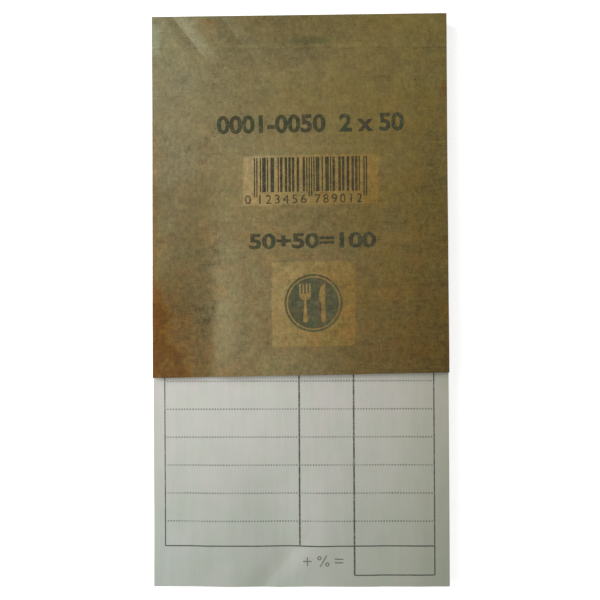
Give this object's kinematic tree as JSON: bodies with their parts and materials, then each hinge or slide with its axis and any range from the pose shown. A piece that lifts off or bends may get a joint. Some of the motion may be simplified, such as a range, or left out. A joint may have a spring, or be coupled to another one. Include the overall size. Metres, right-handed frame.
{
  "type": "guest check pad",
  "caption": "Pocket pad of two-part carbonless check forms with a kraft cover folded over the bound top edge.",
  "frame": {"origin": "middle of the back face, on which the pad lies", "axes": "+X across the pad to the right, +Y up the pad to the bound edge, +Z out of the front cover"},
  "size_m": [0.083, 0.161, 0.01],
  "materials": {
    "kraft": "matt unbleached kraft",
    "chipboard": "matt grey chipboard",
    "original_paper": "matt white form paper",
    "copy_paper": "matt yellow form paper",
    "form_paper": "matt form paper, white and yellow by turns",
    "wire": "bright drawn wire"
  },
  "bodies": {
    "pad": {"cover_wrap": "kraft", "backing_board": "chipboard", "staple": "wire", "stub_01": "form_paper", "stub_02": "form_paper", "stub_03": "form_paper", "set_04": "form_paper", "set_05": "form_paper", "set_06": "form_paper", "set_07": "form_paper", "set_08": "form_paper", "set_09": "form_paper", "set_10": "form_paper", "set_11": "form_paper", "set_12": "form_paper", "set_13": "form_paper", "set_14": "form_paper", "set_15": "form_paper", "set_16": "form_paper", "set_17": "form_paper", "set_18": "form_paper", "set_19": "form_paper", "set_20": "form_paper", "set_21": "form_paper", "set_22": "form_paper", "set_23": "form_paper", "set_24": "form_paper", "set_25": "form_paper", "set_26": "form_paper", "set_27": "form_paper", "set_28": "form_paper", "set_29": "form_paper", "set_30": "form_paper", "set_31": "form_paper", "set_32": "form_paper", "set_33": "form_paper", "set_34": "form_paper", "set_35": "form_paper", "set_36": "form_paper", "set_37": "form_paper", "set_38": "form_paper", "set_39": "form_paper", "set_40": "form_paper", "set_41": "form_paper", "set_42": "form_paper", "set_43": "form_paper", "set_44": "form_paper", "set_45": "form_paper", "set_46": "form_paper", "set_47": "form_paper", "set_48": "form_paper", "set_49": "form_paper", "set_50": "form_paper"},
    "cover": {"cover_flap": "kraft"},
    "copy_leaf_01": {"copy_01": "copy_paper"},
    "original_leaf_01": {"original_01": "original_paper"},
    "copy_leaf_02": {"copy_02": "copy_paper"},
    "original_leaf_02": {"original_02": "original_paper"},
    "copy_leaf_03": {"copy_03": "copy_paper"},
    "original_leaf_03": {"original_03": "original_paper"}
  },
  "joints": [
    {"name": "cover_turn", "type": "hinge", "parent": "pad", "child": "cover", "pos_m": [0, 0.071, 0.0084], "axis": [-1, 0, 0], "range_deg": [0, 170]},
    {"name": "copy_turn_01", "type": "hinge", "parent": "pad", "child": "copy_leaf_01", "pos_m": [0, 0.071, 0.0084], "axis": [-1, 0, 0], "range_deg": [0, 163.2]},
    {"name": "original_tear_off_01", "type": "slide", "parent": "copy_leaf_01", "child": "original_leaf_01", "axis": [0, -1, 0], "range_m": [0, 0.152]},
    {"name": "copy_turn_02", "type": "hinge", "parent": "pad", "child": "copy_leaf_02", "pos_m": [0, 0.071, 0.0084], "axis": [-1, 0, 0], "range_deg": [0, 156.4]},
    {"name": "original_tear_off_02", "type": "slide", "parent": "copy_leaf_02", "child": "original_leaf_02", "axis": [0, -1, 0], "range_m": [0, 0.152]},
    {"name": "copy_turn_03", "type": "hinge", "parent": "pad", "child": "copy_leaf_03", "pos_m": [0, 0.071, 0.0084], "axis": [-1, 0, 0], "range_deg": [0, 149.6]},
    {"name": "original_tear_off_03", "type": "slide", "parent": "copy_leaf_03", "child": "original_leaf_03", "axis": [0, -1, 0], "range_m": [0, 0.152]}
  ],
  "couplings": [
    {"joint": "copy_turn_01", "follows": "cover_turn", "ratio": 0.96},
    {"joint": "copy_turn_02", "follows": "cover_turn", "ratio": 0.92},
    {"joint": "copy_turn_03", "follows": "cover_turn", "ratio": 0.88}
  ]
}
